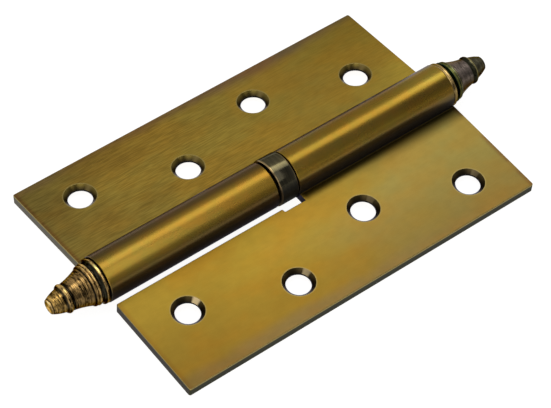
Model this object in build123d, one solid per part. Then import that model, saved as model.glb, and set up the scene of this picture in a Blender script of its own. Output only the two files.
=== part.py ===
"""Lift-off butt hinge, 100 x 70 mm, with rolled knuckles, a middle ring and turned finials.

The hinge lies open on its back, as it would rest on a table. The origin is on the table,
under the middle of the pin. +X runs along the pin towards the end that the door leaf lifts
off from, +Y points to the frame leaf, and +Z points up, out of the countersunk faces.
"""
import math
import os

from build123d import *

# Leaves: both are the same pressing, turned half a turn to each other. Millimetres.
leaf_length = 100.0
leaf_reach = 35.0             # pin axis to the outer edge of a leaf
sheet = 2.5                   # thickness of the steel sheet
axis_above_face = 1.5         # pin axis above a countersunk face: half the closed gap
edge_break = 0.12             # the sheet's edges are broken by this much
corner_round = 0.5            # corners of a leaf, seen from above
notch_round = 0.35            # inside corners beside the middle ring

# Rolled knuckles
bore_radius = 3.35
knuckle_spacing = 6.0         # between the two knuckles, where the middle ring sits
bend_radius = 4.0             # middle of the sheet where a leaf dips under its knuckle
seam_gap = 0.15               # left where the rolled end meets the leaf's face
barrel_clearance = 1.2        # between a leaf and the other leaf's knuckle
notch_depth = 0.95            # extra relief in a leaf's edge beside the ring

# Screw holes, countersunk from both faces
hole_pitch = 25.2
row_stagger = 8.0
frame_row_from_edge = 10.0    # outer row of the frame leaf to its outer edge
door_row_from_edge = 9.4
hole_radius = 3.0
sink_radius = 3.95
sink_depth = 1.0

# Pin and middle ring
press_clearance = 0.01        # radial, for what is pressed into a knuckle
running_clearance = 0.06      # radial, for what turns on the pin
end_clearance = 0.05          # along the pin, at each end of the ring
pin_foot = 2.0                # left empty between the pin and the lower finial's shank
pin_headroom = 7.0            # left empty between the pin and the upper finial's shank
pin_lead = 1.2                # taper at the pin's top
ring_radius = 6.0
ring_bevel = 0.35
ring_shoulder_radius = 4.9
lower_shoulder = 0.65         # length of the ring's shoulder on the frame knuckle
upper_shoulder = 0.30

# Turned finials: lengths are measured outwards from the knuckle's end
shank_length = 7.0
flange_radius = 5.7
flange_length = 1.0
flange_edge = 0.3
cove_start = 1.3
cove_start_radius = 5.35
cove_end = 2.05
cove_end_radius = 4.88
bead_groove_radius = 4.98     # the bead is split by a groove into two ridges
ridge_rise = 0.3
bead_end = 3.55
bead_end_radius = 4.5
cone_start = 3.8
cone_start_radius = 4.65
cone_end = 8.15
cone_end_radius = 3.42
cone_hollow = 0.12            # how far the cone curves in from a straight taper
small_bead_start = 8.4
small_bead_start_radius = 3.2
small_bead_rise = 0.5
dome_start = 9.95
dome_start_radius = 2.95
dome_rise = 0.12
dome_end = 12.9
dome_end_radius = 1.95
tip_length = 13.3
tip_radius = 1.5
tip_rim = 0.2
tip_hollow = 0.1

# Worked out from the above
barrel_radius = bore_radius + sheet
knuckle_length = (leaf_length - knuckle_spacing) / 2
upper_knuckle = knuckle_length + knuckle_spacing    # where the door leaf's knuckle starts
inner_edge = barrel_radius + barrel_clearance
notch_edge = inner_edge + notch_depth
face_level = -axis_above_face
back_level = face_level - sheet
pin_height = max(ring_radius, barrel_radius)    # pin axis above the table


def resting_droop():
    """Angle at which the ring and a leaf's outer edge touch the table together, in degrees."""
    reach = leaf_reach - edge_break
    depth = -back_level
    slope = math.atan2(depth, reach)
    return math.degrees(math.asin(pin_height / math.hypot(reach, depth)) - slope)


def knuckle_section():
    """The sheet seen along the pin: it dips, goes round the bore and returns to its own face."""
    middle = bore_radius + sheet / 2
    level = face_level - sheet / 2
    bend_y = math.sqrt(middle**2 - level**2 + 2 * bend_radius * (middle + level))
    bend_z = level - bend_radius
    dip = math.degrees(math.atan2(bend_z, bend_y))
    turn = 90 + dip
    seam = math.degrees(math.asin((face_level + seam_gap) / barrel_radius))
    wrap = 360 - (seam - dip)
    with BuildSketch(Plane.YZ) as section:
        with BuildLine():
            Line((notch_edge, face_level), (bend_y, face_level))
            CenterArc((bend_y, bend_z), bend_radius + sheet / 2, 90, turn)
            bore = CenterArc((0, 0), bore_radius, dip, -wrap)
            barrel = CenterArc((0, 0), barrel_radius, dip, -wrap)
            Line(bore @ 1, barrel @ 1)
            CenterArc((bend_y, bend_z), bend_radius - sheet / 2, 90, turn)
            Line((bend_y, back_level), (notch_edge, back_level))
            Line((notch_edge, back_level), (notch_edge, face_level))
        make_face()
    return section.sketch


def plate_outline():
    """The flat of a leaf seen from above, with its notch beside the middle ring."""
    corners = [
        (0, notch_edge),
        (upper_knuckle, notch_edge),
        (upper_knuckle, inner_edge),
        (leaf_length, inner_edge),
        (leaf_length, leaf_reach),
        (0, leaf_reach),
    ]
    with BuildSketch(Plane.XY.offset(back_level)) as outline:
        with BuildLine():
            Polyline(*corners, close=True)
        make_face()
        outer = outline.vertices().filter_by(lambda v: v.Y > leaf_reach - 1 or v.X > leaf_length - 1)
        fillet(outer, corner_round)
        inner = outline.vertices().filter_by(
            lambda v: abs(v.X - upper_knuckle) < 0.01 and v.Y < notch_edge + 0.01
        )
        fillet(inner, notch_round)
    return outline.sketch


def screw_hole():
    """Cutter for one hole: a short cylinder with a cone towards each face."""
    middle = (face_level + back_level) / 2
    cone_middle = (sheet - sink_depth) / 2
    cutter = Cylinder(hole_radius, sheet)
    cutter += Pos(0, 0, cone_middle) * Cone(hole_radius, sink_radius, sink_depth)
    cutter += Pos(0, 0, -cone_middle) * Cone(sink_radius, hole_radius, sink_depth)
    return Pos(0, 0, middle) * cutter


def hole_places(row_from_edge):
    """Centres of the four screw holes: two staggered rows."""
    first = (leaf_length - 3 * hole_pitch) / 2
    outer_row = leaf_reach - row_from_edge
    for number in range(4):
        row = outer_row if number % 2 == 0 else outer_row - row_stagger
        yield first + number * hole_pitch, row


def is_sheet_edge(edge):
    """True for the outer edges of the sheet, which are broken after it is cut."""
    middle = edge.center()
    on_surface = min(abs(middle.Z - face_level), abs(middle.Z - back_level)) < 0.01
    at_outline = (
        middle.Y > leaf_reach - corner_round
        or middle.X < 0.01
        or middle.X > leaf_length - corner_round
    )
    round_barrel = edge.geom_type == GeomType.CIRCLE and edge.radius > barrel_radius - 0.01
    at_ring = round_barrel and abs(middle.X - knuckle_length) < 0.01
    return (on_surface and at_outline) or at_ring


def leaf(row_from_edge):
    """A leaf with its rolled knuckle, lying along +X with its outer edge towards +Y."""
    body = extrude(plate_outline(), sheet) + extrude(knuckle_section(), knuckle_length)
    body = chamfer(body.edges().filter_by(is_sheet_edge), edge_break)
    for along, across in hole_places(row_from_edge):
        body -= Pos(along, across, 0) * screw_hole()
    return body


def turned(profile_face):
    """A turned piece from its half section, drawn with the pin axis along X."""
    return revolve(profile_face, Axis.X, 360)


def pin():
    """Steel pin, pressed into the frame knuckle and tapered where the door leaf drops on."""
    start = shank_length + pin_foot
    held_end = knuckle_length
    free_end = leaf_length - shank_length - pin_headroom
    held_radius = bore_radius - press_clearance
    free_radius = bore_radius - running_clearance
    with BuildSketch() as half:
        with BuildLine():
            Polyline(
                (start, 0),
                (start, held_radius - edge_break),
                (start + edge_break, held_radius),
                (held_end, held_radius),
                (held_end, free_radius),
                (free_end - pin_lead, free_radius),
                (free_end, free_radius - pin_lead / 2),
                (free_end, 0),
                close=True,
            )
        make_face()
    return turned(half.sketch)


def ring():
    """Middle ring: carries the door leaf on the frame knuckle, with a shoulder at each end."""
    start = knuckle_length + end_clearance
    end = upper_knuckle - end_clearance
    body_start = start + lower_shoulder
    body_end = end - upper_shoulder
    with BuildSketch() as half:
        with BuildLine():
            Polyline(
                (start, bore_radius),
                (start, ring_shoulder_radius),
                (body_start, ring_shoulder_radius),
                (body_start, ring_radius - ring_bevel),
                (body_start + ring_bevel, ring_radius),
                (body_end - ring_bevel, ring_radius),
                (body_end, ring_radius - ring_bevel),
                (body_end, ring_shoulder_radius),
                (end, ring_shoulder_radius),
                (end, bore_radius),
                close=True,
            )
        make_face()
    return turned(half.sketch)


def turn_on(outline, end, rise, flats):
    """Carries a turned outline on to end, along a curve that stands out by rise at its middle."""
    start = outline[-1]
    along = end[0] - start[0]
    across = end[1] - start[1]
    length = math.hypot(along, across)
    for step in range(1, flats + 1):
        part = step / flats
        out = 4 * rise * part * (1 - part) / length
        outline.append((start[0] + part * along - out * across, start[1] + part * across + out * along))


def finial():
    """Turned finial pointing along +X, with its flange face at X = 0 and its shank behind."""
    shank_radius = bore_radius - press_clearance
    outline = [
        (-shank_length, 0),
        (-shank_length, shank_radius),
        (0, shank_radius),
        (0, flange_radius - flange_edge),
        (flange_edge, flange_radius),
        (flange_length, flange_radius),
        (cove_start, cove_start_radius),
        (cove_end, cove_end_radius),
    ]
    turn_on(outline, ((cove_end + bead_end) / 2, bead_groove_radius), ridge_rise, 2)
    turn_on(outline, (bead_end, bead_end_radius), ridge_rise, 2)
    outline.append((cone_start, cone_start_radius))
    turn_on(outline, (cone_end, cone_end_radius), -cone_hollow, 2)
    outline.append((small_bead_start, small_bead_start_radius))
    turn_on(outline, (dome_start, dome_start_radius), small_bead_rise, 3)
    turn_on(outline, (dome_end, dome_end_radius), dome_rise, 2)
    outline.append((tip_length, tip_radius))
    outline.append((tip_length - tip_hollow, tip_radius - tip_rim))
    outline.append((tip_length - tip_hollow, 0))
    with BuildSketch() as half:
        with BuildLine():
            Polyline(*outline, close=True)
        make_face()
    return turned(half.sketch)


def main():
    droop = resting_droop()
    middle = Pos(-leaf_length / 2, 0, pin_height)
    half_turn = Rot(0, 0, 180)
    on_pin = {
        "frame_leaf": middle * Rot(-droop, 0, 0) * leaf(frame_row_from_edge),
        "door_leaf": half_turn * middle * Rot(-droop, 0, 0) * leaf(door_row_from_edge),
        "pin": middle * pin(),
        "middle_ring": middle * ring(),
        "lower_finial": middle * Rot(0, 0, 180) * finial(),
        "upper_finial": middle * Pos(leaf_length, 0, 0) * finial(),
    }
    os.makedirs("parts", exist_ok=True)
    for name, solid in on_pin.items():
        export_step(solid, f"parts/{name}.step")
    print(f"droop {droop:.4f} degrees, pin axis {pin_height:.3f} mm above the table")


main()
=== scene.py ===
"""Lift-off butt hinge in antique bronze: finishes, turned ring and finials, studio and camera.

Everything is in metres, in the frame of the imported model: +X along the pin, +Z up. The finishes
and the turned outlines are written in millimetres, and angles round the pin in degrees from the
top towards -Y.
"""
import math

import bpy
from mathutils import Matrix, Vector


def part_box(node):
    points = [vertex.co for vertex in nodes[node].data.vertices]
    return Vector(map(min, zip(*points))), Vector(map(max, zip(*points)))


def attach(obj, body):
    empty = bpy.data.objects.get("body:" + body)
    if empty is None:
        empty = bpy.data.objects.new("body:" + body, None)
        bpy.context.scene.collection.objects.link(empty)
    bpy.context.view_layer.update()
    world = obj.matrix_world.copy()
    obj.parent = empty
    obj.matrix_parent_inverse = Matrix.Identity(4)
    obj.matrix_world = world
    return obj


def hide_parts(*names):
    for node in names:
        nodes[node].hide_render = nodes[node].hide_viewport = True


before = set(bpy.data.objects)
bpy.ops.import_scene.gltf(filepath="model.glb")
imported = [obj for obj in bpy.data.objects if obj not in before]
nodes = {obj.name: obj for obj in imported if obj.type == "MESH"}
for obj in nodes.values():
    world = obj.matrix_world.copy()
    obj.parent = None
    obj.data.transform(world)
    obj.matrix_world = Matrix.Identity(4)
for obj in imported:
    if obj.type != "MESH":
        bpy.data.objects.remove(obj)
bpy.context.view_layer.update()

mm = 0.001

# Camera, solved from the leaf edges, hole rims and barrel in the photograph
image_width = 551
focal_pixels = 2411.0
sensor_width = 36.0
camera_place = Vector((-232.1, -286.2, 428.1)) * mm
camera_azimuth = math.radians(-39.101)
camera_elevation = math.radians(49.459)
camera_roll = math.radians(1.987)

# Softboxes, which hang level: name, centre, size, radiance, colour and turn in degrees
softboxes = [
    ("strip_box", (0.20, 0.125, 0.8), (1.00, 0.41), 1.42, (1.0, 0.99, 0.95), 0.0),
    ("side_box", (0.207, -0.555, 0.8), (0.304, 0.88), 0.95, (1.0, 0.98, 0.93), 12.8),
    ("back_box", (-0.62, -0.68, 0.8), (0.62, 0.72), 0.95, (1.0, 0.99, 0.95), 0.0),
]

# The room's grey in front of the door leaf, and how it changes: along which axis (0 is X, 1 is
# Y), from where to where in a direction of length 1, and to which grey
room_front = (0.17, 0.17, 0.175)
room_changes = [
    (1, -0.3, 0.5, (0.41, 0.405, 0.41)),
    (0, -0.12, -0.5, (0.55, 0.55, 0.55)),
    (0, 0.5, 0.75, (0.45, 0.45, 0.45)),
]

# The floor: half its side, the white that the camera sees, and the grey that is lit
floor_reach = 20.0
floor_glow = 0.92
floor_grey = 0.28

# Places on the hinge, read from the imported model
pin_low, pin_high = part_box("pin")
axis_height = (pin_low.z + pin_high.z) / 2
half_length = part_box("frame_leaf")[1].x
axis_mm = axis_height / mm
half_mm = half_length / mm

# Screw holes of a leaf, from its end and from the pin's axis
hole_pitch = 25.2
first_hole = 12.2
row_stagger = 8.0
hole_radius = 3.0
sink_radius = 3.95
rim_width = 0.35

# The folded sheet
droop = 0.0576              # slope of the leaves, which rest on their outer edges
edge_break = 0.12
barrel_edge = (6.0, 6.4)    # distance from the pin's axis over which the barrel's finish ends
sheet_edge = (6.6, 7.2)     # and over which the finish of the cut edges begins

white = (1.0, 1.0, 1.0)
# Tones that the painted shade round the pin adds
shade_tone_round_pin = (0.015, 0.019, 0.027)
finial_shade_tone_round_pin = (0.010, 0.009, 0.006)

# What both leaves' layers do to the colour: depths as shares of it, then tones
hairline_depth = 0.15
broad_line_depth = 0.02
spot_depth = 0.035
cloud_depth = 0.04
barrel_brushing = 0.2       # depth of the brushing that the barrels have
warm_tarnish = (1.05, 0.965, 0.87)
cool_tarnish = (0.955, 1.015, 1.09)
clean_mottle = (0.98, 1.01, 1.0)
ruddy_mottle = (1.03, 0.955, 0.95)
# Reddish painted shade along the leaves' ends
verge_shade_tone = (0.72, 0.50, 0.62)
# Painted highlight on the top of the door leaf's barrel
top_highlight_tone = (1.28, 1.42, 1.62)
# Near-black painted shade on the screw holes' walls and on the notch's end wall
hole_wall_shade = (0.010, 0.009, 0.006)
notch_shade = (0.006, 0.004, 0.003)

# Where both leaves' layers begin and end, in millimetres or in degrees round the pin
outer_reach = (10.0, 34.0)  # from the pin's axis
verge_start, verge_full = 1.5, 0.3    # from a leaf's end
front_angle = (20.0, 32.0)
top_angle = (8.0, 24.0)
under_angle = (70.0, 88.0)
fold_change = (10.0, 40.0)  # along X, from the near fold to the far one
hole_zone = (4.4, 4.6)      # from a hole's middle
notch_zone = (40.0, 48.0)   # from the middle of the leaf
face_break = (-2.0, -1.65)  # above the pin's axis, less the leaf's slope
# The side of a hole's cone that gets the painted glint, and where that glint fades
glint_side = (-0.92, -0.39)           # along X and Y
glint_change = (-38.0, 12.0)          # along X

# Turned pieces
finial_length = 13.3
turning_step = 0.06
turned_sides = 112
mark_pitch = 0.36
mark_fade = 6               # tool marks fade in and out over a sixth of their stretch
sharp_degrees = 50


def link(obj):
    bpy.context.scene.collection.objects.link(obj)
    return obj


def set_camera():
    """The photograph's viewpoint: azimuth 0 looks along +Y."""
    back = Vector((
        math.sin(camera_azimuth) * math.cos(camera_elevation),
        -math.cos(camera_azimuth) * math.cos(camera_elevation),
        math.sin(camera_elevation),
    ))
    level = Vector((math.cos(camera_azimuth), math.sin(camera_azimuth), 0))
    right = Matrix.Rotation(camera_roll, 3, back) @ level
    up = back.cross(right)
    data = bpy.data.cameras.new("camera")
    data.sensor_width = sensor_width
    data.lens = sensor_width * focal_pixels / image_width
    data.clip_start = 0.01
    data.clip_end = 100
    camera = link(bpy.data.objects.new("camera", data))
    turn = Matrix((right, up, back)).transposed().to_4x4()
    camera.matrix_world = Matrix.Translation(camera_place) @ turn
    bpy.context.scene.camera = camera


def softbox(name, centre, size, radiance, colour, turn):
    """A rectangular lamp that hangs level over the object and gives the stated radiance."""
    data = bpy.data.lights.new(name, "AREA")
    data.shape = "RECTANGLE"
    data.size, data.size_y = size
    data.energy = radiance * math.pi * size[0] * size[1]
    data.color = colour
    lamp = link(bpy.data.objects.new(name, data))
    lamp.location = centre
    lamp.rotation_euler.z = math.radians(turn)


def set_studio():
    """Three softboxes, a dim room and a pale floor that keeps the shadow."""
    for lamp in softboxes:
        softbox(*lamp)
    set_room()
    reach = floor_reach
    mesh = bpy.data.meshes.new("floor")
    corners = [(-reach, -reach, 0), (reach, -reach, 0), (reach, reach, 0), (-reach, reach, 0)]
    mesh.from_pydata(corners, [], [(0, 1, 2, 3)])
    floor = link(bpy.data.objects.new("floor", mesh))
    mesh.materials.append(floor_material())


class Paint:
    """Short calls for building the node tree of a material or of the world."""

    def __init__(self, owner):
        owner.use_nodes = True
        self.owner = owner
        self.tree = owner.node_tree
        self.tree.nodes.clear()

    def node(self, kind, **settings):
        made = self.tree.nodes.new("ShaderNode" + kind)
        for key, value in settings.items():
            setattr(made, key, value)
        return made

    def feed(self, socket, value):
        """Links a socket to another, or sets its number or colour."""
        if isinstance(value, bpy.types.NodeSocket):
            self.tree.links.new(value, socket)
        elif isinstance(value, tuple) and len(value) == 3 and socket.type == "RGBA":
            socket.default_value = (*value, 1)
        else:
            socket.default_value = value

    def finish(self, surface, output="OutputMaterial"):
        self.feed(self.node(output).inputs["Surface"], surface)
        return self.owner

    def math(self, operation, *values, clamp=False):
        made = self.node("Math", operation=operation, use_clamp=clamp)
        for socket, value in zip(made.inputs, values):
            self.feed(socket, value)
        return made.outputs[0]

    def plus(self, value, *others):
        for other in others:
            value = self.math("ADD", value, other)
        return value

    def minus(self, value, other):
        return self.math("SUBTRACT", value, other)

    def times(self, value, *factors):
        for factor in factors:
            value = self.math("MULTIPLY", value, factor)
        return value

    def size(self, value):
        return self.math("ABSOLUTE", value)

    def hypotenuse(self, first, second):
        return self.math("SQRT", self.plus(self.times(first, first), self.times(second, second)))

    def ramp(self, value, low, high, out_low=0.0, out_high=1.0, curve="SMOOTHSTEP"):
        """From out_low at low to out_high at high, smoothly unless curve says LINEAR."""
        made = self.node("MapRange", interpolation_type=curve)
        for socket, setting in zip(made.inputs, (value, low, high, out_low, out_high)):
            self.feed(socket, setting)
        return made.outputs[0]

    def sway(self, noise, depth):
        """Turns a noise into a number between -depth and depth."""
        return self.ramp(noise, 0.3, 0.7, -depth, depth)

    def grey(self, value):
        made = self.node("CombineColor")
        for socket in made.inputs:
            self.feed(socket, value)
        return made.outputs[0]

    def mix(self, share, first, second, blend="MIX"):
        made = self.node("Mix", data_type="RGBA", blend_type=blend)
        self.feed(made.inputs["Factor"], share)
        colours = [socket for socket in made.inputs if socket.type == "RGBA"]
        self.feed(colours[0], first)
        self.feed(colours[1], second)
        return next(socket for socket in made.outputs if socket.type == "RGBA")

    def tint(self, colour, tone, share=1.0):
        """The colour times the tone, as far as share says."""
        return self.mix(share, colour, tone, "MULTIPLY")

    def table(self, value, low, high, rows):
        """A colour for each value from low to high, from rows of a value and its colour or grey."""
        made = self.node("ValToRGB")
        stops = made.color_ramp.elements
        while len(stops) < len(rows):
            stops.new(0.5)
        for stop, (at, _) in zip(stops, rows):
            stop.position = (at - low) / (high - low)
        for stop, (_, colour) in zip(stops, rows):
            stop.color = (*colour, 1) if isinstance(colour, tuple) else (colour, colour, colour, 1)
        self.feed(made.inputs["Fac"], self.ramp(value, low, high, curve="LINEAR"))
        return made.outputs["Color"]

    def split(self, vector):
        made = self.node("SeparateXYZ")
        self.feed(made.inputs[0], vector)
        return made.outputs

    def position(self):
        """Position on the object in millimetres, as a vector and as x, y and z."""
        scaled = self.node("VectorMath", operation="SCALE")
        self.feed(scaled.inputs[0], self.node("TexCoord").outputs["Object"])
        self.feed(scaled.inputs["Scale"], 1 / mm)
        return scaled.outputs[0], self.split(scaled.outputs[0])

    def noise(self, place, stretch, shift=0.0, detail=2.0, roughness=0.5):
        """Noise with this many periods a millimetre along x, y and z."""
        mapping = self.node("Mapping")
        self.feed(mapping.inputs["Vector"], place)
        self.feed(mapping.inputs["Scale"], Vector(stretch))
        self.feed(mapping.inputs["Location"], Vector((shift, shift * 0.7, shift * 1.3)))
        made = self.node("TexNoise")
        self.feed(made.inputs["Vector"], mapping.outputs[0])
        self.feed(made.inputs["Scale"], 1.0)
        self.feed(made.inputs["Detail"], detail)
        self.feed(made.inputs["Roughness"], roughness)
        return made.outputs["Fac"]

    def bump(self, height, strength, depth, normal=None):
        """The normal of a surface that a noise lifts by up to depth, in millimetres."""
        made = self.node("Bump")
        self.feed(made.inputs["Strength"], strength)
        self.feed(made.inputs["Distance"], depth * mm)
        self.feed(made.inputs["Height"], height)
        if normal is not None:
            self.feed(made.inputs["Normal"], normal)
        return made.outputs[0]

    def metal(self, colour, roughness, glancing=white):
        """A metal shader, whose glancing reflections are tinted."""
        shader = self.node("BsdfPrincipled")
        self.feed(shader.inputs["Base Color"], colour)
        self.feed(shader.inputs["Metallic"], 1.0)
        self.feed(shader.inputs["Roughness"], roughness)
        shader.inputs["Specular Tint"].default_value = (*glancing, 1)
        return shader


def set_room():
    """The room is dimmest in front of the door leaf, and lightest behind the lower finial."""
    world = bpy.data.worlds.new("room")
    bpy.context.scene.world = world
    paint = Paint(world)
    direction = paint.split(paint.node("TexCoord").outputs["Generated"])
    grey = room_front
    for axis, low, high, changed in room_changes:
        grey = paint.mix(paint.ramp(direction[axis], low, high), grey, changed)
    background = paint.node("Background")
    paint.feed(background.inputs["Color"], grey)
    paint.finish(background.outputs[0], "OutputWorld")


def floor_material():
    """Pale floor that shows white to the camera and in the metal, less its own shadow."""
    paint = Paint(bpy.data.materials.new("pale_floor"))
    rays = paint.node("LightPath").outputs
    seen = paint.math("ADD", rays["Is Camera Ray"], rays["Is Glossy Ray"], clamp=True)
    seen = paint.math("ADD", seen, rays["Is Transmission Ray"], clamp=True)
    glow = paint.node("Emission")
    paint.feed(glow.inputs["Color"], white)
    paint.feed(glow.inputs["Strength"], paint.times(seen, floor_glow))
    matt = paint.node("BsdfDiffuse")
    paint.feed(matt.inputs["Color"], (floor_grey, floor_grey, floor_grey))
    both = paint.node("AddShader")
    paint.feed(both.inputs[0], glow.outputs[0])
    paint.feed(both.inputs[1], matt.outputs[0])
    return paint.finish(both.outputs[0])


def around_pin(paint, y, z):
    """Distance from the pin's axis, and the angle from the top towards -Y."""
    height = paint.minus(z, axis_mm)
    angle = paint.math("ARCTAN2", paint.times(y, -1.0), height)
    return paint.hypotenuse(y, height), paint.times(angle, 180 / math.pi)


def paint_light_round_pin(paint, colour, angle, rows, tone=shade_tone_round_pin):
    """Painted shade and highlight round the pin: a row's factor below 1 darkens the colour and adds
    the tone, above 1 brightens it.
    """
    left = [(at, tuple(max(0, 1 - light_factor) * part for part in tone)) for at, light_factor in rows]
    lit_and_shaded = paint.tint(colour, paint.table(angle, -180, 180, rows))
    return paint.mix(1.0, lit_and_shaded, paint.table(angle, -180, 180, left), "ADD")


def from_hole(paint, along, reach, outer_row):
    """Distance from the middle of the nearest screw hole."""
    along = paint.plus(along, half_mm - first_hole)
    number = paint.math("ROUND", paint.math("DIVIDE", along, hole_pitch))
    odd = paint.math("PINGPONG", number, 1.0)
    row = paint.minus(outer_row, paint.times(odd, row_stagger))
    along = paint.minus(along, paint.times(number, hole_pitch))
    return paint.hypotenuse(along, paint.minus(reach, row))


class LeafPaint(Paint):
    """The finish of one leaf, in layers: brushed antique bronze with dark edges, painted shade and
    highlight on the barrel's flanks, and more painted light on the face, fold and screw holes.
    """

    def __init__(self, name, side, shift, tints):
        super().__init__(bpy.data.materials.new(name))
        self.tints = tints
        self.side = side
        place, (self.x, y, z) = self.position()
        self.reach = self.times(y, side)
        self.height = self.minus(z, axis_mm)
        self.distance, self.angle = around_pin(self, y, z)
        self.normal = self.split(self.node("TexCoord").outputs["Normal"])
        self.barrel = self.ramp(self.distance, *barrel_edge, 1.0, 0.0)
        self.flat = self.minus(1.0, self.barrel)
        self.hole = from_hole(self, self.times(self.x, side), self.reach, tints["row"])

        self.fine = self.noise(place, (0.28, 3.4, 3.4), shift, 1.0)
        self.coarse = self.noise(place, (0.10, 1.1, 1.1), shift + 7)
        self.cloud = self.noise(place, (0.05, 0.08, 0.08), shift + 3, 3.0)
        self.patch = self.noise(place, (0.06, 0.10, 0.10), shift + 11, 3.0, 0.6)
        self.spots = self.noise(place, (0.35, 0.45, 0.45), shift + 5, 3.0, 0.6)

        brushing = self.ramp(self.x, -12.0, 24.0, *tints["brushing"])
        smoother = self.times(self.barrel, self.minus(brushing, barrel_brushing))
        self.brushing = self.minus(brushing, smoother)

        sheet = self.ramp(self.distance, *sheet_edge)
        slope = self.size(self.normal[2])
        self.at_hole = self.ramp(self.hole, *hole_zone, 1.0, 0.0)
        self.cut = self.times(self.ramp(slope, 0.80, 0.95, 1.0, 0.0), sheet)
        self.wall = self.times(self.ramp(slope, 0.3, 0.6, 1.0, 0.0), sheet)
        rim = self.ramp(self.hole, sink_radius + 0.05, sink_radius + rim_width, 1.0, 0.0)
        self.rim = self.times(rim, sheet, 0.75)

    def along_leaf(self, rows):
        """A colour for each place from one end of the leaf to the other, with cloudy borders."""
        along = self.plus(self.x, self.sway(self.cloud, 9.0))
        return self.table(along, -half_mm, half_mm, rows)

    def face_tints(self):
        """The bronze's tints along the leaf, which also carry painted light and shade from one end to
        the other and towards the outer edge, with another band along its outer edge.
        """
        green = self.tints["outer_green"]
        outer = [(at, (value, value * green, value)) for at, value in self.tints["outer"]]
        reach = self.plus(self.reach, self.sway(self.cloud, 1.0))
        face = self.along_leaf(self.tints["face"])
        face = self.tint(face, self.along_leaf(outer), self.ramp(reach, *outer_reach))
        band = self.times(self.ramp(reach, *self.tints["band"]), self.flat)
        colour = self.mix(band, face, self.along_leaf(self.tints["edge"]))
        return self.mix(self.barrel, colour, self.tints["barrel"])

    def brushed(self, colour):
        """Hairlines along the pin, over soft spots and clouds."""
        fine = self.sway(self.fine, hairline_depth)
        broad = self.sway(self.coarse, broad_line_depth)
        lines = self.times(self.plus(fine, broad), self.brushing)
        soft = self.plus(self.sway(self.spots, spot_depth), self.sway(self.cloud, cloud_depth))
        return self.tint(colour, self.grey(self.plus(1.0, lines, soft)))

    def tarnish_and_end_shade(self, colour):
        """Warm and cool patches, a mottled barrel, and a patchy reddish painted shade along the
        leaf's ends.
        """
        patches = self.mix(self.ramp(self.patch, 0.35, 0.65), warm_tarnish, cool_tarnish)
        colour = self.tint(colour, patches)
        mottled = self.mix(self.ramp(self.spots, 0.42, 0.62), clean_mottle, ruddy_mottle)
        colour = self.tint(colour, mottled, self.barrel)
        verge = self.ramp(self.size(self.x), half_mm - verge_start, half_mm - verge_full)
        verge = self.times(verge, self.ramp(self.patch, 0.40, 0.56, 0.15, 0.9), self.flat)
        verge = self.times(verge, self.ramp(self.x, -1.0, 1.0, *self.tints["verge"]))
        return self.tint(colour, verge_shade_tone, verge)

    def shaded_barrel(self, colour):
        """Painted light on the barrel: its front's brightness changes along the pin, where the tints
        give a top it gets a painted highlight, and its flanks get painted shade and highlight round
        the pin.
        """
        front = self.times(self.barrel, self.ramp(self.angle, *front_angle))
        colour = self.tint(colour, self.grey(self.ramp(self.x, *self.tints["fade"])), front)
        if "top" in self.tints:
            top = self.times(self.barrel, self.ramp(self.angle, *top_angle, 1.0, 0.0))
            top = self.times(top, self.ramp(self.x, *self.tints["top"]))
            colour = self.tint(colour, top_highlight_tone, top)
        return self.mix(self.barrel, colour, paint_light_round_pin(self, colour, self.angle, self.tints["light_round_pin"]))

    def shaded_fold(self, colour):
        """Painted shade in the fold beside the leaf's own barrel, on the countersunk face."""
        beside_own = self.ramp(self.times(self.x, -self.side), 2.0, 4.0)
        share = self.times(beside_own, self.ramp(self.normal[2], 0.0, 0.3), self.flat)
        near, far = [self.grey(self.ramp(self.reach, *fold)) for fold in self.tints["fold"]]
        fold = self.mix(self.ramp(self.x, *fold_change), near, far)
        return self.tint(colour, fold, share)

    def sunk_cone(self):
        """The cone of a screw hole, darker deep in the hole as painted shade, with a painted glint
        where its normal leans to the glint's side.
        """
        deep, shallow = self.tints["cone"]
        cone = self.mix(self.ramp(self.hole, hole_radius, sink_radius), deep, shallow)
        facing = [self.times(part, side) for part, side in zip(self.normal, glint_side)]
        glint = self.ramp(self.plus(*facing), *self.tints["facing"])
        glint = self.times(glint, self.ramp(self.x, *glint_change, *self.tints["glints"]))
        return self.mix(glint, cone, self.tints["glint"])

    def cut_edges(self, colour):
        """Sheared edges are dark; hole walls and the notch's end wall are near black as painted
        shade; the breaks beside the face and the countersinks' rims are rubbed bright, wear that also
        stands for a painted highlight.
        """
        rim = self.tints["rim"]
        colour = self.mix(self.rim, colour, rim)
        colour = self.mix(self.cut, colour, rim)
        colour = self.mix(self.times(self.cut, self.at_hole), colour, self.sunk_cone())
        from_face = self.plus(self.height, self.times(self.reach, droop))
        sheared = self.mix(self.ramp(from_face, *face_break), self.tints["wall"], rim)
        colour = self.mix(self.wall, colour, self.mix(self.at_hole, sheared, hole_wall_shade))
        end = self.ramp(self.size(self.normal[0]), 0.75, 0.9)
        end = self.times(end, self.minus(1.0, self.at_hole))
        notch = self.ramp(self.size(self.x), *notch_zone, 1.0, 0.0)
        return self.mix(end, colour, self.mix(notch, self.tints["end"], notch_shade))

    def roughness(self):
        """Brushed and cloudy, smoother on the barrel, and rough under it and on the cut edges."""
        grain = self.times(self.sway(self.coarse, 0.007), self.brushing)
        clouds = self.ramp(self.cloud, 0.3, 0.7, 0.28, 0.31)
        smoother = self.times(self.barrel, -0.02)
        under = self.times(self.barrel, self.ramp(self.angle, *under_angle, 0.0, 0.4))
        return self.plus(grain, clouds, smoother, self.times(self.wall, 0.15), under)


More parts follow.
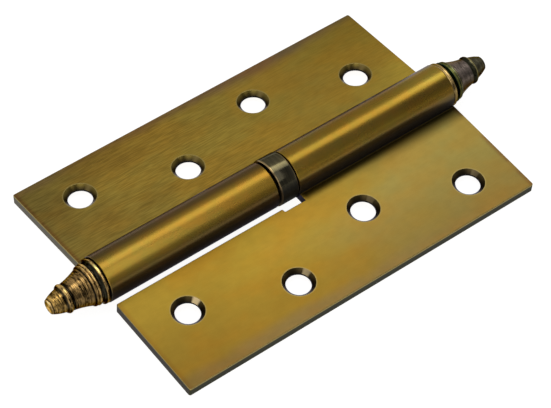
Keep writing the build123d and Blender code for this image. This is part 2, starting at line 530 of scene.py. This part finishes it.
def leaf_material(name, side, shift, tints):
    """Brushed antique bronze. Side is 1 where the leaf reaches to +Y, and -1 where to -Y."""
    leaf = LeafPaint(name, side, shift, tints)
    colour = leaf.face_tints()
    for layer in (leaf.brushed, leaf.tarnish_and_end_shade, leaf.shaded_barrel, leaf.shaded_fold, leaf.cut_edges):
        colour = layer(colour)
    bevel = leaf.node("Bevel", samples=6)
    bevel.inputs["Radius"].default_value = edge_break * mm
    shader = leaf.metal(colour, leaf.roughness(), (0.60, 0.60, 0.70))
    leaf.feed(shader.inputs["Normal"], leaf.bump(leaf.coarse, 0.02, 0.02, bevel.outputs[0]))
    round_pin = leaf.node("Tangent", direction_type="RADIAL", axis="X")
    leaf.feed(shader.inputs["Tangent"], round_pin.outputs[0])
    shader.inputs["Anisotropic"].default_value = 0.3
    return leaf.finish(shader.outputs[0])


def ring_material():
    """Dark polished ring, rubbed bright along its two bevels, wear that also stands for a painted
    highlight, with painted shade on its shoulders and painted shade and highlight round the pin.
    """
    paint = Paint(bpy.data.materials.new("dark_ring"))
    place, (x, y, z) = paint.position()
    distance, angle = around_pin(paint, y, z)
    turned = paint.noise(place, (3.0, 0.25, 0.25), 2.0, 3.0)
    dark, light = (0.145, 0.124, 0.060), (0.205, 0.174, 0.088)
    colour = paint.mix(paint.ramp(turned, 0.35, 0.65), dark, light)
    colour = paint.mix(paint.table(x, -3.0, 3.0, ring_rims), colour, (0.62, 0.44, 0.20))
    colour = paint_light_round_pin(paint, colour, angle, ring_light_round_pin)
    # Painted shade on the ring's shoulders, in the gaps beside the knuckles
    shoulder_shade = paint.ramp(distance, 5.1, 5.5, 1.0, 0.0)
    colour = paint.mix(shoulder_shade, colour, (0.035, 0.028, 0.016))
    under = paint.ramp(angle, 50.0, 66.0, 0.0, 0.45)
    roughness = paint.plus(paint.ramp(turned, 0.3, 0.7, 0.13, 0.19), under)
    shader = paint.metal(colour, roughness, (0.5, 0.5, 0.5))
    return paint.finish(shader.outputs[0])


def finial_material(name, tones, stations, marked, blotched):
    """Turned bronze: gold where it was rubbed, green-black in the recesses, with fine tool marks, and
    painted shade and highlight round the pin.
    """
    paint = Paint(bpy.data.materials.new(name))
    place, (x, y, z) = paint.position()
    _, angle = around_pin(paint, y, z)
    outwards = paint.minus(paint.size(x), half_mm)
    rows = [(at, tones[tone]) for at, tone in stations]
    colour = paint.table(outwards, 0.0, finial_length, rows)
    colour = paint_light_round_pin(paint, colour, angle, finial_light_round_pin, finial_shade_tone_round_pin)
    marks = paint.noise(place, (2.6, 0.10, 0.10), 5.0, 1.0)
    specks = paint.noise(place, (3.2, 0.8, 0.8), 17.0, 1.0)
    blotch = paint.noise(place, (0.8, 0.8, 0.8), 9.0, 4.0, 0.65)
    change = paint.plus(
        paint.ramp(blotch, 0.35, 0.65, -blotched, blotched),
        paint.ramp(marks, 0.40, 0.60, -marked, marked),
        paint.ramp(specks, 0.38, 0.66, -1.1 * marked, 1.3 * marked),
    )
    colour = paint.tint(colour, paint.grey(paint.plus(1.0, change)))
    shader = paint.metal(colour, paint.ramp(blotch, 0.3, 0.7, 0.18, 0.32), (0.42, 0.36, 0.26))
    paint.feed(shader.inputs["Normal"], paint.bump(marks, 0.5, 0.05))
    return paint.finish(shader.outputs[0])


def pin_material():
    """Ground steel, with a little old grease."""
    paint = Paint(bpy.data.materials.new("ground_pin"))
    place, _ = paint.position()
    turned = paint.noise(place, (8.0, 0.2, 0.2), 1.0)
    blotch = paint.noise(place, (0.3, 0.4, 0.4), 4.0)
    colour = paint.mix(turned, (0.42, 0.42, 0.43), (0.60, 0.60, 0.61))
    colour = paint.mix(paint.ramp(blotch, 0.55, 0.75, 0.0, 0.4), colour, (0.35, 0.31, 0.24))
    shader = paint.metal(colour, paint.ramp(turned, 0.3, 0.7, 0.26, 0.36))
    return paint.finish(shader.outputs[0])


def dress(node, material):
    """Puts one material on all of a CAD node."""
    mesh = nodes[node].data
    mesh.materials.clear()
    mesh.materials.append(material)


def turned_outline(stations):
    """Points of a turned outline: parabolic bulges between the stations, with fine tool marks."""
    points = [stations[0][:2]]
    for start, (end_s, end_r, rise, marks) in zip(stations, stations[1:]):
        along, across = end_s - start[0], end_r - start[1]
        length = math.hypot(along, across)
        plain = not rise and not marks
        count = 1 if plain else max(3, round(length / turning_step))
        for step in range(1, count + 1):
            part = step / count
            out = 4 * rise * part * (1 - part) / length
            ripple = marks * (math.cos(2 * math.pi * part * length / mark_pitch) - 1) / 2
            ripple *= min(1, mark_fade * part, mark_fade * (1 - part))
            place = start[0] + part * along - out * across
            radius = start[1] + part * across + out * along + ripple
            points.append((place, radius))
    return points


def turned_piece(name, node, body, slot, stations, start, side, material):
    """One fine turned mesh round the pin's axis, in place of the node's coarser solid."""

    def around(place, radius, turn=0.0):
        return (
            side * (start + place * mm),
            side * radius * mm * math.cos(turn),
            axis_height + radius * mm * math.sin(turn),
        )

    points = turned_outline(stations)
    hollow = points[0] == points[-1]
    rings = points[:-1]
    turns = [2 * math.pi * number / turned_sides for number in range(turned_sides)]
    vertices = [around(place, radius, turn) for place, radius in rings for turn in turns]
    rows = [(row, row + 1) for row in range(len(rings) - 1)]
    if hollow:
        rows.append((len(rings) - 1, 0))
    beside = [(number, (number + 1) % turned_sides) for number in range(turned_sides)]
    faces = []
    for low, high in rows:
        first, second = low * turned_sides, high * turned_sides
        for now, after in beside:
            faces.append((first + now, second + now, second + after, first + after))
    if not hollow:
        back, front = len(vertices), len(vertices) + 1
        vertices.append(around(rings[0][0], 0))
        vertices.append(around(points[-1][0], 0))
        last = (len(rings) - 1) * turned_sides
        for now, after in beside:
            faces.append((back, now, after))
            faces.append((front, last + after, last + now))
    mesh = bpy.data.meshes.new(name)
    mesh.from_pydata(vertices, [], faces)
    mesh.shade_smooth()
    mesh.set_sharp_from_angle(angle=math.radians(sharp_degrees))
    mesh.update()
    mesh.materials.append(material)
    piece = link(bpy.data.objects.new(name, mesh))
    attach(piece, body)
    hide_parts(node)


# Outline of the middle ring: distance from its middle towards the door leaf, and radius. The
# third number is how far the stretch up to that point stands out, the fourth how deep its tool
# marks are.
ring_stations = [
    (-2.95, 3.41, 0, 0),
    (-2.95, 4.9, 0, 0),
    (-2.3, 4.9, 0, 0),
    (-2.3, 5.65, 0, 0),
    (-1.95, 6.0, 0.08, 0),
    (2.3, 6.0, 0, 0),
    (2.65, 5.65, 0.08, 0),
    (2.65, 4.9, 0, 0),
    (2.95, 4.9, 0, 0),
    (2.95, 3.41, 0, 0),
    (-2.95, 3.41, 0, 0),
]

# Outline of a finial: the same numbers, with the distance from the knuckle's end outwards
finial_stations = [
    (-7.0, 3.34, 0, 0),
    (0.0, 3.34, 0, 0),
    (0.0, 5.38, 0, 0),
    (0.32, 5.7, 0.03, 0),
    (0.98, 5.7, 0, 0),
    (1.06, 5.62, 0.02, 0),
    (2.05, 4.88, -0.16, 0),
    (2.76, 4.96, 0.34, 0),
    (3.56, 4.52, 0.34, 0),
    (3.66, 4.48, 0, 0),
    (3.82, 4.65, 0.03, 0),
    (8.15, 3.42, -0.12, 0.022),
    (8.24, 3.22, 0, 0),
    (8.42, 3.2, 0, 0),
    (9.9, 2.97, 0.52, 0),
    (12.86, 1.97, 0.12, 0.018),
    (12.96, 1.82, 0, 0),
    (13.04, 1.84, 0, 0),
    (13.22, 1.7, 0.06, 0),
    (13.3, 1.5, 0.02, 0),
    (13.22, 1.32, 0, 0),
    (13.2, 0.0, 0, 0),
]

# Where the ring's two bevels are rubbed bright, wear that also stands for a painted highlight:
# distance from its middle, and how much
ring_rims = [
    (-3.0, 0.0), (-2.4, 0.0), (-2.28, 1.0), (-2.01, 1.0), (-1.89, 0.0),
    (2.28, 0.0), (2.4, 0.6), (2.64, 0.6),
]

# Painted shade and highlight round the pin: angle, and a factor on the colour that is 1 where
# nothing is painted, below 1 for painted shade and above 1 for painted highlight
ring_light_round_pin = [
    (-180, 0.5), (-130, 0.4), (-60, 0.22), (-32, 0.45), (-22, 0.64), (-6, 0.7), (4, 1.0), (9, 1.25),
    (15, 0.85), (22, 0.36), (44, 0.42), (54, 0.5), (62, 0.3), (70, 0.16), (122, 0.12), (150, 0.5),
]
finial_light_round_pin = [
    (-180, 0.6), (-130, 0.5), (-60, 0.3), (-44, 0.42), (-30, 0.7), (-16, 1.15), (6, 1.28),
    (22, 1.24), (34, 0.75), (48, 0.50), (60, 0.52), (72, 0.28), (122, 0.26), (150, 0.6),
]

# Tints of a leaf. Row is how far the outer row of holes lies from the pin's axis. Face, edge and
# outer give a colour or a factor at places along X, and outer_green says how green the outer
# part stays; face and outer also carry painted light and shade along the leaf and across it.
# Band, fade, top, facing and fold say from where to where a layer changes, and the numbers after
# that from what to what. Fade and top are painted light on the barrel, fold painted shade in the
# fold, verge a reddish painted shade at the ends, glint a painted highlight in the cones, and the
# table of angles round the pin gives painted shade and highlight. Brushing, fold, glints and
# verge have a value for the -X end and one for the +X end. Cone has the tone deep in a hole,
# darker as painted shade, and the one at its rim.
frame_leaf_tints = {
    "row": 24.87,
    "brushing": (1.1, 0.45),
    "face": [
        (-50, (0.33, 0.225, 0.046)),
        (-20, (0.48, 0.315, 0.051)),
        (15, (0.50, 0.33, 0.050)),
        (28, (0.463, 0.313, 0.051)),
        (44, (0.60, 0.39, 0.053)),
        (50, (0.625, 0.41, 0.054)),
    ],
    "edge": [
        (-50, (0.27, 0.175, 0.05)),
        (0, (0.30, 0.175, 0.065)),
        (30, (0.29, 0.17, 0.07)),
        (50, (0.15, 0.17, 0.08)),
    ],
    "band": (31.0, 34.8),
    "outer": [(-50, 0.95), (28, 0.95), (44, 0.63), (50, 0.60)],
    "outer_green": 1.0,
    "rim": (0.47, 0.38, 0.13),
    "end": (0.135, 0.122, 0.070),
    "barrel": (0.375, 0.238, 0.036),
    "cone": ((0.055, 0.040, 0.015), (0.20, 0.145, 0.032)),
    "glint": (0.34, 0.25, 0.09),
    "facing": (0.675, 0.735),
    "glints": (1.0, 1.0),
    "wall": (0.07, 0.066, 0.03),
    "fold": ((7.9, 8.6, 0.8, 1.0), (7.9, 8.6, 0.8, 1.0)),
    "fade": (-48.0, -4.0, 1.12, 0.84),
    "verge": (0.9, 0.1),
    # Painted shade and highlight round the pin
    "light_round_pin": [
        (-180, 0.5), (-130, 0.45), (-60, 0.3), (-40, 0.38), (-34, 0.36), (-28, 0.36), (-20, 0.40),
        (-12, 0.48), (-4, 0.82), (4, 1.02), (20, 1.0), (28, 1.3), (36, 1.32), (44, 1.5), (53, 1.2),
        (60, 0.50), (68, 0.32), (76, 0.22), (84, 0.10), (122, 0.06), (150, 0.5),
    ],
}
door_leaf_tints = {
    "row": 25.47,
    "brushing": (0.1, 0.1),
    "face": [
        (-50, (0.425, 0.262, 0.033)),
        (-16, (0.51, 0.312, 0.036)),
        (4, (0.49, 0.318, 0.048)),
        (24, (0.45, 0.325, 0.075)),
        (50, (0.42, 0.325, 0.080)),
    ],
    "edge": [
        (-50, (0.20, 0.118, 0.026)),
        (-20, (0.26, 0.16, 0.045)),
        (10, (0.27, 0.175, 0.05)),
        (50, (0.29, 0.19, 0.045)),
    ],
    "band": (31.0, 34.4),
    "outer": [(-50, 0.60), (-16, 0.64), (24, 0.64), (50, 0.68)],
    "outer_green": 0.94,
    "rim": (0.44, 0.34, 0.12),
    "end": (0.055, 0.050, 0.028),
    "barrel": (0.365, 0.226, 0.030),
    "cone": ((0.032, 0.023, 0.011), (0.080, 0.058, 0.022)),
    "glint": (1.0, 0.76, 0.40),
    "facing": (0.700, 0.735),
    "glints": (1.0, 0.12),
    "wall": (0.045, 0.045, 0.020),
    "fold": ((6.8, 9.0, 0.12, 0.98), (6.6, 11.0, 0.12, 0.94)),
    "fade": (6.0, 46.0, 1.15, 0.84),
    "top": (30.0, 48.0, 0.0, 1.0),
    "verge": (0.4, 0.9),
    # Painted shade and highlight round the pin
    "light_round_pin": [
        (-180, 0.5), (-130, 0.42), (-60, 0.25), (-36, 0.40), (-28, 0.75), (-20, 0.95), (-8, 1.0),
        (20, 1.0), (28, 0.70), (36, 0.72), (44, 0.95), (52, 1.5), (60, 0.78), (68, 0.36),
        (76, 0.26), (84, 0.12), (122, 0.05), (150, 0.5),
    ],
}

# Tones of the finials, and where along each one they are, from the knuckle's end outwards. The
# lower finial's pale grey disc at its tip is a painted reflection.
warm_tones = {
    "dark": (0.030, 0.024, 0.014),
    "green": (0.018, 0.019, 0.012),
    "cone": (0.295, 0.180, 0.062),
    "gold": (0.68, 0.43, 0.15),
    "dome": (0.46, 0.28, 0.078),
    "disc": (0.42, 0.41, 0.36),
}
warm_stations = [
    (0.0, "dark"), (0.48, "dark"), (0.66, "gold"), (0.98, "gold"), (1.12, "green"), (2.05, "dark"),
    (2.25, "gold"), (2.60, "gold"), (2.74, "cone"), (2.92, "gold"), (3.35, "cone"), (3.52, "dark"),
    (3.76, "dark"), (3.95, "cone"), (7.90, "cone"), (8.12, "dark"), (8.62, "dark"), (8.85, "gold"),
    (9.45, "gold"), (9.75, "dark"), (10.0, "dark"), (10.4, "dome"), (12.7, "dome"), (12.92, "dark"),
    (13.02, "dark"), (13.10, "gold"), (13.26, "gold"), (13.3, "disc"),
]
cool_tones = {
    "dark": (0.030, 0.030, 0.018),
    "green": (0.045, 0.072, 0.036),
    "cone": (0.190, 0.152, 0.130),
    "gold": (0.54, 0.37, 0.14),
    "rim": (0.30, 0.265, 0.13),
    "crest": (0.27, 0.25, 0.060),
    "dome": (0.098, 0.090, 0.060),
}
cool_stations = [
    (0.0, "dark"), (0.16, "gold"), (0.36, "gold"), (0.44, "dark"), (0.54, "gold"), (1.05, "gold"),
    (1.15, "green"), (2.25, "green"), (2.48, "crest"), (2.72, "crest"), (2.95, "green"),
    (3.25, "rim"), (3.60, "rim"), (3.68, "dark"), (3.80, "cone"), (7.90, "cone"), (8.20, "dark"),
    (9.0, "dark"), (9.25, "rim"), (9.65, "rim"), (9.9, "dome"), (12.7, "dome"), (12.92, "dark"),
    (13.3, "dome"),
]

bpy.context.scene.view_settings.view_transform = "Standard"
set_camera()
set_studio()
bright = ring_material()
warm = finial_material("bronze_lower_finial", warm_tones, warm_stations, 0.42, 0.25)
cool = finial_material("bronze_upper_finial", cool_tones, cool_stations, 0.14, 0.16)
dress("frame_leaf", leaf_material("bronze_frame_leaf", 1.0, 0.0, frame_leaf_tints))
dress("door_leaf", leaf_material("bronze_door_leaf", -1.0, 40.0, door_leaf_tints))
dress("pin", pin_material())
dress("middle_ring", bright)
dress("lower_finial", warm)
dress("upper_finial", cool)
turned_piece("turned_ring", "middle_ring", "ring", "ring", ring_stations, 0, 1, bright)
finial_shape = (finial_stations, half_length)
turned_piece("turned_lower_finial", "lower_finial", "frame", "finial", *finial_shape, -1, warm)
turned_piece("turned_upper_finial", "upper_finial", "door", "finial", *finial_shape, 1, cool)
